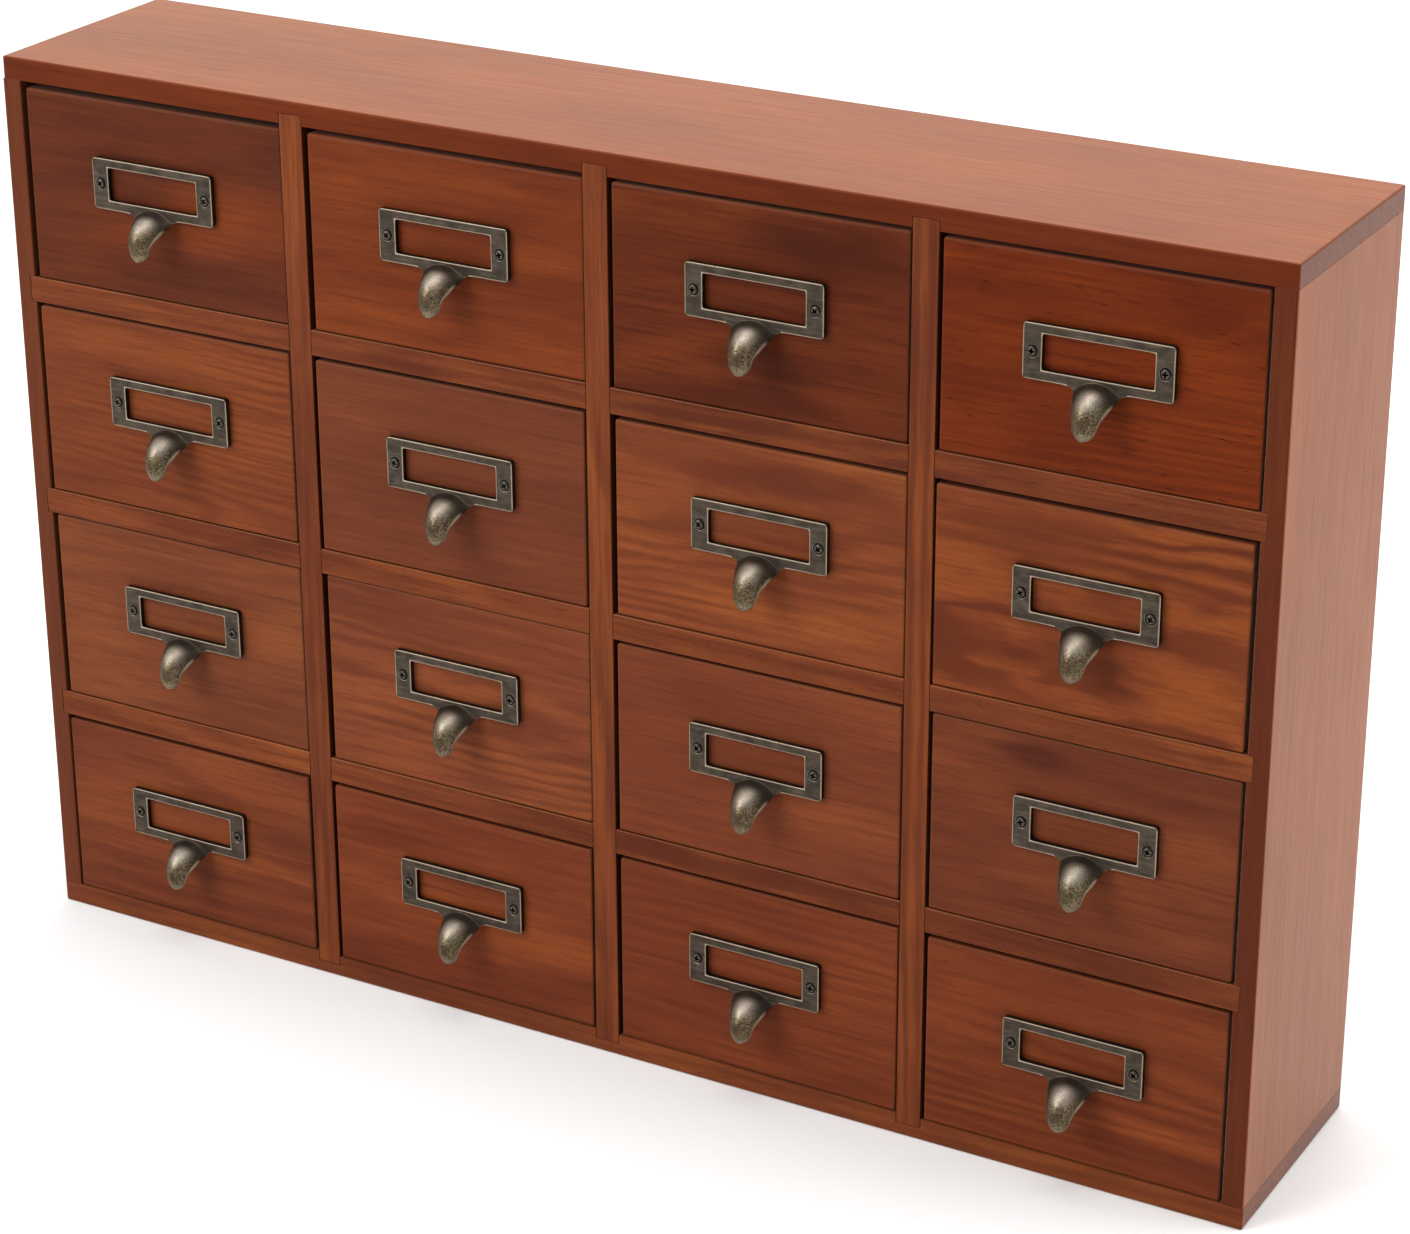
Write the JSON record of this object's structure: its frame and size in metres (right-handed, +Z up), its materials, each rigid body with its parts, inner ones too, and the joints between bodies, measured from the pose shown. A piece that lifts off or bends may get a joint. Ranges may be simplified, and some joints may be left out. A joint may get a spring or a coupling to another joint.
{
  "type": "card catalog cabinet",
  "caption": "Desktop card catalog cabinet: a shallow stained-wood carcass with a grid of small sliding drawers, each with a bronze label-holder pull.",
  "frame": {"origin": "middle of the carcass's underside, on the bottom board", "axes": "+Z up, the drawers open towards -Y, +X to the right seen from the front"},
  "size_m": [0.63, 0.1374, 0.434],
  "materials": {
    "stained_cherry": "cherry stain under satin lacquer",
    "drawer_box_wood": "bare sanded softwood",
    "back_panel_wood": "thin stained plywood",
    "antique_bronze": "dark antique bronze, worn bright along the edges"
  },
  "bodies": {
    "carcass": {"top_board": "stained_cherry", "bottom_board": "stained_cherry", "left_side": "stained_cherry", "right_side": "stained_cherry", "divider_1": "stained_cherry", "divider_2": "stained_cherry", "divider_3": "stained_cherry", "shelf_1": "stained_cherry", "shelf_2": "stained_cherry", "shelf_3": "stained_cherry", "back_panel": "back_panel_wood"},
    "drawer_r1c1": {"drawer_r1c1_front": "stained_cherry", "drawer_r1c1_box": "drawer_box_wood", "drawer_r1c1_pull": "antique_bronze"},
    "drawer_r1c2": {"drawer_r1c2_front": "stained_cherry", "drawer_r1c2_box": "drawer_box_wood", "drawer_r1c2_pull": "antique_bronze"},
    "drawer_r1c3": {"drawer_r1c3_front": "stained_cherry", "drawer_r1c3_box": "drawer_box_wood", "drawer_r1c3_pull": "antique_bronze"},
    "drawer_r1c4": {"drawer_r1c4_front": "stained_cherry", "drawer_r1c4_box": "drawer_box_wood", "drawer_r1c4_pull": "antique_bronze"},
    "drawer_r2c1": {"drawer_r2c1_front": "stained_cherry", "drawer_r2c1_box": "drawer_box_wood", "drawer_r2c1_pull": "antique_bronze"},
    "drawer_r2c2": {"drawer_r2c2_front": "stained_cherry", "drawer_r2c2_box": "drawer_box_wood", "drawer_r2c2_pull": "antique_bronze"},
    "drawer_r2c3": {"drawer_r2c3_front": "stained_cherry", "drawer_r2c3_box": "drawer_box_wood", "drawer_r2c3_pull": "antique_bronze"},
    "drawer_r2c4": {"drawer_r2c4_front": "stained_cherry", "drawer_r2c4_box": "drawer_box_wood", "drawer_r2c4_pull": "antique_bronze"},
    "drawer_r3c1": {"drawer_r3c1_front": "stained_cherry", "drawer_r3c1_box": "drawer_box_wood", "drawer_r3c1_pull": "antique_bronze"},
    "drawer_r3c2": {"drawer_r3c2_front": "stained_cherry", "drawer_r3c2_box": "drawer_box_wood", "drawer_r3c2_pull": "antique_bronze"},
    "drawer_r3c3": {"drawer_r3c3_front": "stained_cherry", "drawer_r3c3_box": "drawer_box_wood", "drawer_r3c3_pull": "antique_bronze"},
    "drawer_r3c4": {"drawer_r3c4_front": "stained_cherry", "drawer_r3c4_box": "drawer_box_wood", "drawer_r3c4_pull": "antique_bronze"},
    "drawer_r4c1": {"drawer_r4c1_front": "stained_cherry", "drawer_r4c1_box": "drawer_box_wood", "drawer_r4c1_pull": "antique_bronze"},
    "drawer_r4c2": {"drawer_r4c2_front": "stained_cherry", "drawer_r4c2_box": "drawer_box_wood", "drawer_r4c2_pull": "antique_bronze"},
    "drawer_r4c3": {"drawer_r4c3_front": "stained_cherry", "drawer_r4c3_box": "drawer_box_wood", "drawer_r4c3_pull": "antique_bronze"},
    "drawer_r4c4": {"drawer_r4c4_front": "stained_cherry", "drawer_r4c4_box": "drawer_box_wood", "drawer_r4c4_pull": "antique_bronze"}
  },
  "joints": [
    {"name": "drawer_r1c1_slide", "type": "slide", "parent": "carcass", "child": "drawer_r1c1", "axis": [0, -1, 0], "range_m": [0, 0.09]},
    {"name": "drawer_r1c2_slide", "type": "slide", "parent": "carcass", "child": "drawer_r1c2", "axis": [0, -1, 0], "range_m": [0, 0.09]},
    {"name": "drawer_r1c3_slide", "type": "slide", "parent": "carcass", "child": "drawer_r1c3", "axis": [0, -1, 0], "range_m": [0, 0.09]},
    {"name": "drawer_r1c4_slide", "type": "slide", "parent": "carcass", "child": "drawer_r1c4", "axis": [0, -1, 0], "range_m": [0, 0.09]},
    {"name": "drawer_r2c1_slide", "type": "slide", "parent": "carcass", "child": "drawer_r2c1", "axis": [0, -1, 0], "range_m": [0, 0.09]},
    {"name": "drawer_r2c2_slide", "type": "slide", "parent": "carcass", "child": "drawer_r2c2", "axis": [0, -1, 0], "range_m": [0, 0.09]},
    {"name": "drawer_r2c3_slide", "type": "slide", "parent": "carcass", "child": "drawer_r2c3", "axis": [0, -1, 0], "range_m": [0, 0.09]},
    {"name": "drawer_r2c4_slide", "type": "slide", "parent": "carcass", "child": "drawer_r2c4", "axis": [0, -1, 0], "range_m": [0, 0.09]},
    {"name": "drawer_r3c1_slide", "type": "slide", "parent": "carcass", "child": "drawer_r3c1", "axis": [0, -1, 0], "range_m": [0, 0.09]},
    {"name": "drawer_r3c2_slide", "type": "slide", "parent": "carcass", "child": "drawer_r3c2", "axis": [0, -1, 0], "range_m": [0, 0.09]},
    {"name": "drawer_r3c3_slide", "type": "slide", "parent": "carcass", "child": "drawer_r3c3", "axis": [0, -1, 0], "range_m": [0, 0.09]},
    {"name": "drawer_r3c4_slide", "type": "slide", "parent": "carcass", "child": "drawer_r3c4", "axis": [0, -1, 0], "range_m": [0, 0.09]},
    {"name": "drawer_r4c1_slide", "type": "slide", "parent": "carcass", "child": "drawer_r4c1", "axis": [0, -1, 0], "range_m": [0, 0.09]},
    {"name": "drawer_r4c2_slide", "type": "slide", "parent": "carcass", "child": "drawer_r4c2", "axis": [0, -1, 0], "range_m": [0, 0.09]},
    {"name": "drawer_r4c3_slide", "type": "slide", "parent": "carcass", "child": "drawer_r4c3", "axis": [0, -1, 0], "range_m": [0, 0.09]},
    {"name": "drawer_r4c4_slide", "type": "slide", "parent": "carcass", "child": "drawer_r4c4", "axis": [0, -1, 0], "range_m": [0, 0.09]}
  ]
}
